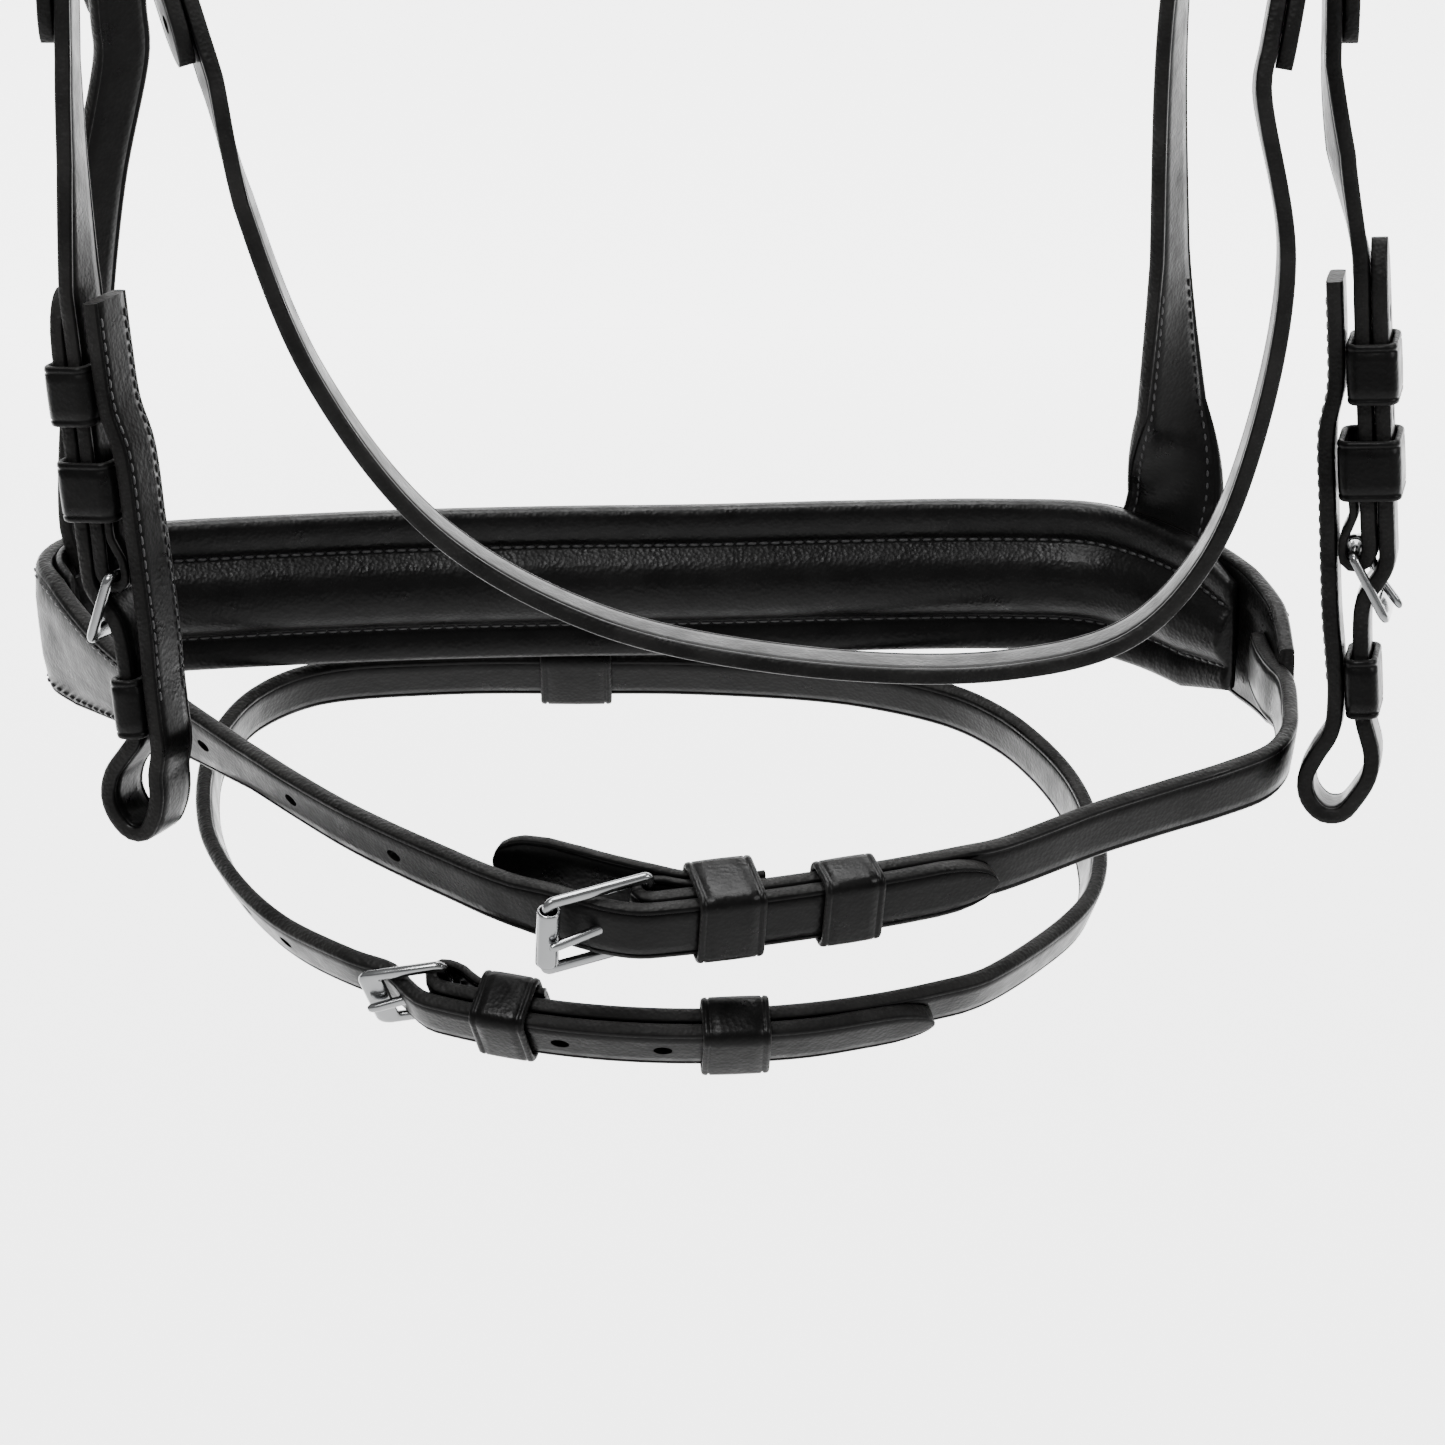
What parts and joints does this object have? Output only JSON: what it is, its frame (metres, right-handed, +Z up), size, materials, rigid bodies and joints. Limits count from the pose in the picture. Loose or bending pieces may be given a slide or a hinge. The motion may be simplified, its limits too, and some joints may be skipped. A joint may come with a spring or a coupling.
{
  "type": "snaffle bridle",
  "caption": "English snaffle bridle without bit or reins: padded cavesson noseband with flash strap, throatlash, browband, cheekpieces and padded crown, with steel buckles.",
  "frame": {"origin": "centre of the underside of the poll pad, where the crown rests behind the horse's ears", "axes": "+Z up the horse's head, +Y to the horse's face and nose, +X to the horse's off (right) side"},
  "size_m": [0.2941, 0.2128, 0.5257],
  "materials": {
    "bridle_leather": "black strap leather with a soft sheen",
    "lining_leather": "black soft padded lining leather",
    "buckle_steel": "polished stainless steel"
  },
  "bodies": {
    "crown": {"headpiece": "bridle_leather", "poll_pad": "lining_leather", "headstrap": "bridle_leather"},
    "browband": {"browband": "bridle_leather"},
    "cheek_left": {"cheek_billet_left": "bridle_leather", "cheek_strap_left": "bridle_leather", "bit_billet_left": "bridle_leather", "cheek_keeper_left": "bridle_leather", "bit_keeper_upper_left": "bridle_leather", "bit_keeper_middle_left": "bridle_leather", "bit_keeper_lower_left": "bridle_leather"},
    "cheek_right": {"cheek_billet_right": "bridle_leather", "cheek_strap_right": "bridle_leather", "bit_billet_right": "bridle_leather", "cheek_keeper_right": "bridle_leather", "bit_keeper_upper_right": "bridle_leather", "bit_keeper_middle_right": "bridle_leather", "bit_keeper_lower_right": "bridle_leather"},
    "throatlash": {"throatlash_strap": "bridle_leather", "throat_billet_left": "bridle_leather", "throat_billet_right": "bridle_leather", "throat_keeper_left": "bridle_leather", "throat_keeper_right": "bridle_leather"},
    "noseband": {"nose_band": "bridle_leather", "nose_pad": "lining_leather", "chin_strap": "bridle_leather", "buckle_guard_tab": "bridle_leather", "noseband_keeper": "bridle_leather", "hanger_right": "bridle_leather", "hanger_left": "bridle_leather", "headstrap_billet": "bridle_leather", "headstrap_keeper": "bridle_leather"},
    "flash": {"flash_strap": "bridle_leather", "flash_keeper": "bridle_leather", "flash_loop": "bridle_leather"},
    "bit_left_frame": {"bit_left_buckle_frame": "buckle_steel"},
    "bit_left_tongue": {"bit_left_buckle_tongue": "buckle_steel"},
    "cheek_left_frame": {"cheek_left_buckle_frame": "buckle_steel"},
    "cheek_left_tongue": {"cheek_left_buckle_tongue": "buckle_steel"},
    "throat_left_frame": {"throat_left_buckle_frame": "buckle_steel"},
    "throat_left_tongue": {"throat_left_buckle_tongue": "buckle_steel"},
    "cheek_runner_left": {"cheek_runner_left": "bridle_leather"},
    "bit_right_frame": {"bit_right_buckle_frame": "buckle_steel"},
    "bit_right_tongue": {"bit_right_buckle_tongue": "buckle_steel"},
    "cheek_right_frame": {"cheek_right_buckle_frame": "buckle_steel"},
    "cheek_right_tongue": {"cheek_right_buckle_tongue": "buckle_steel"},
    "throat_right_frame": {"throat_right_buckle_frame": "buckle_steel"},
    "throat_right_tongue": {"throat_right_buckle_tongue": "buckle_steel"},
    "cheek_runner_right": {"cheek_runner_right": "bridle_leather"},
    "headstrap_frame": {"headstrap_buckle_frame": "buckle_steel"},
    "headstrap_tongue": {"headstrap_buckle_tongue": "buckle_steel"},
    "noseband_frame": {"noseband_buckle_frame": "buckle_steel"},
    "noseband_tongue": {"noseband_buckle_tongue": "buckle_steel"},
    "noseband_roller": {"noseband_buckle_roller": "buckle_steel"},
    "noseband_runner": {"noseband_runner": "bridle_leather"},
    "flash_frame": {"flash_buckle_frame": "buckle_steel"},
    "flash_tongue": {"flash_buckle_tongue": "buckle_steel"},
    "flash_runner": {"flash_runner": "bridle_leather"}
  },
  "joints": [
    {"name": "browband_slide", "type": "slide", "parent": "crown", "child": "browband", "axis": [0, 0, 1], "range_m": [-0.006, 0.006]},
    {"name": "cheek_left_swing", "type": "hinge", "parent": "crown", "child": "cheek_left", "pos_m": [-0.1356, 0.0026, -0.1725], "axis": [0, 1, 0], "range_deg": [0, 25]},
    {"name": "cheek_right_swing", "type": "hinge", "parent": "crown", "child": "cheek_right", "pos_m": [0.1356, 0.0026, -0.1725], "axis": [0, -1, 0], "range_deg": [0, 25]},
    {"name": "throatlash_swing", "type": "hinge", "parent": "crown", "child": "throatlash", "pos_m": [0, -0.0105, -0.1725], "axis": [-1, 0, 0], "range_deg": [0, 25]},
    {"name": "noseband_swing", "type": "hinge", "parent": "crown", "child": "noseband", "pos_m": [0, 0.009, -0.1725], "axis": [1, 0, 0], "range_deg": [0, 20]},
    {"name": "flash_swing", "type": "hinge", "parent": "noseband", "child": "flash", "pos_m": [-0.028, 0.0895, -0.4555], "axis": [1, 0, 0], "range_deg": [0, 10]},
    {"name": "bit_left_frame_rock", "type": "hinge", "parent": "cheek_left", "child": "bit_left_frame", "pos_m": [-0.1188, -0.018, -0.411], "axis": [0.4507, 0.8913, 0.0501], "range_deg": [0, 4]},
    {"name": "bit_left_tongue_lift", "type": "hinge", "parent": "bit_left_frame", "child": "bit_left_tongue", "pos_m": [-0.1188, -0.018, -0.411], "axis": [0.4507, 0.8913, 0.0501], "range_deg": [0, 4]},
    {"name": "cheek_left_frame_rock", "type": "hinge", "parent": "cheek_left", "child": "cheek_left_frame", "pos_m": [-0.1265, -0.004, -0.236], "axis": [-0.1, -0.99, 0.1], "range_deg": [0, 4]},
    {"name": "cheek_left_tongue_lift", "type": "hinge", "parent": "cheek_left_frame", "child": "cheek_left_tongue", "pos_m": [-0.1265, -0.004, -0.236], "axis": [-0.1, -0.99, 0.1], "range_deg": [0, 4]},
    {"name": "throat_left_frame_rock", "type": "hinge", "parent": "throatlash", "child": "throat_left_frame", "pos_m": [-0.11, -0.03, -0.256], "axis": [0.2434, -0.9249, 0.2921], "range_deg": [0, 4]},
    {"name": "throat_left_tongue_lift", "type": "hinge", "parent": "throat_left_frame", "child": "throat_left_tongue", "pos_m": [-0.11, -0.03, -0.256], "axis": [0.2434, -0.9249, 0.2921], "range_deg": [0, 4]},
    {"name": "cheek_runner_left_slide", "type": "slide", "parent": "cheek_left", "child": "cheek_runner_left", "axis": [0, 0.1005, 0.9949], "range_m": [-0.006, 0.006]},
    {"name": "bit_right_frame_rock", "type": "hinge", "parent": "cheek_right", "child": "bit_right_frame", "pos_m": [0.1376, -0.013, -0.408], "axis": [-0.1603, -0.9871, 0], "range_deg": [0, 4]},
    {"name": "bit_right_tongue_lift", "type": "hinge", "parent": "bit_right_frame", "child": "bit_right_tongue", "pos_m": [0.1376, -0.013, -0.408], "axis": [-0.1603, -0.9871, 0], "range_deg": [0, 4]},
    {"name": "cheek_right_frame_rock", "type": "hinge", "parent": "cheek_right", "child": "cheek_right_frame", "pos_m": [0.127, -0.004, -0.236], "axis": [0, 0.995, -0.1], "range_deg": [0, 4]},
    {"name": "cheek_right_tongue_lift", "type": "hinge", "parent": "cheek_right_frame", "child": "cheek_right_tongue", "pos_m": [0.127, -0.004, -0.236], "axis": [0, 0.995, -0.1], "range_deg": [0, 4]},
    {"name": "throat_right_frame_rock", "type": "hinge", "parent": "throatlash", "child": "throat_right_frame", "pos_m": [0.119, -0.031, -0.256], "axis": [0, 0.9752, -0.2212], "range_deg": [0, 4]},
    {"name": "throat_right_tongue_lift", "type": "hinge", "parent": "throat_right_frame", "child": "throat_right_tongue", "pos_m": [0.119, -0.031, -0.256], "axis": [0, 0.9752, -0.2212], "range_deg": [0, 4]},
    {"name": "cheek_runner_right_slide", "type": "slide", "parent": "cheek_right", "child": "cheek_runner_right", "axis": [0, 0.1, 0.995], "range_m": [-0.006, 0.006]},
    {"name": "headstrap_frame_rock", "type": "hinge", "parent": "noseband", "child": "headstrap_frame", "pos_m": [-0.124, 0.038, -0.268], "axis": [-0.8522, -0.4954, -0.1684], "range_deg": [0, 4]},
    {"name": "headstrap_tongue_lift", "type": "hinge", "parent": "headstrap_frame", "child": "headstrap_tongue", "pos_m": [-0.124, 0.038, -0.268], "axis": [-0.8522, -0.4954, -0.1684], "range_deg": [0, 4]},
    {"name": "noseband_frame_rock", "type": "hinge", "parent": "noseband", "child": "noseband_frame", "pos_m": [-0.01, -0.08, -0.46642], "axis": [0.0444, -0.3633, 0.9306], "range_deg": [0, 4]},
    {"name": "noseband_tongue_lift", "type": "hinge", "parent": "noseband_frame", "child": "noseband_tongue", "pos_m": [-0.01, -0.08, -0.46642], "axis": [0.0444, -0.3633, 0.9306], "range_deg": [0, 4]},
    {"name": "noseband_roller_spin", "type": "hinge", "parent": "noseband_frame", "child": "noseband_roller", "pos_m": [-0.03019, -0.08954, -0.46918], "axis": [0.0444, -0.3633, 0.9306], "continuous": true},
    {"name": "noseband_runner_slide", "type": "slide", "parent": "noseband", "child": "noseband_runner", "axis": [-0.9439, -0.3256, -0.055], "range_m": [-0.006, 0.006]},
    {"name": "flash_frame_rock", "type": "hinge", "parent": "flash", "child": "flash_frame", "pos_m": [-0.051, -0.057, -0.49046], "axis": [-0.2225, -0.6071, 0.7629], "range_deg": [0, 4]},
    {"name": "flash_tongue_lift", "type": "hinge", "parent": "flash_frame", "child": "flash_tongue", "pos_m": [-0.051, -0.057, -0.49046], "axis": [-0.2225, -0.6071, 0.7629], "range_deg": [0, 4]},
    {"name": "flash_runner_slide", "type": "slide", "parent": "flash", "child": "flash_runner", "axis": [-0.9972, -0.0731, -0.0144], "range_m": [-0.004, 0.004]}
  ]
}
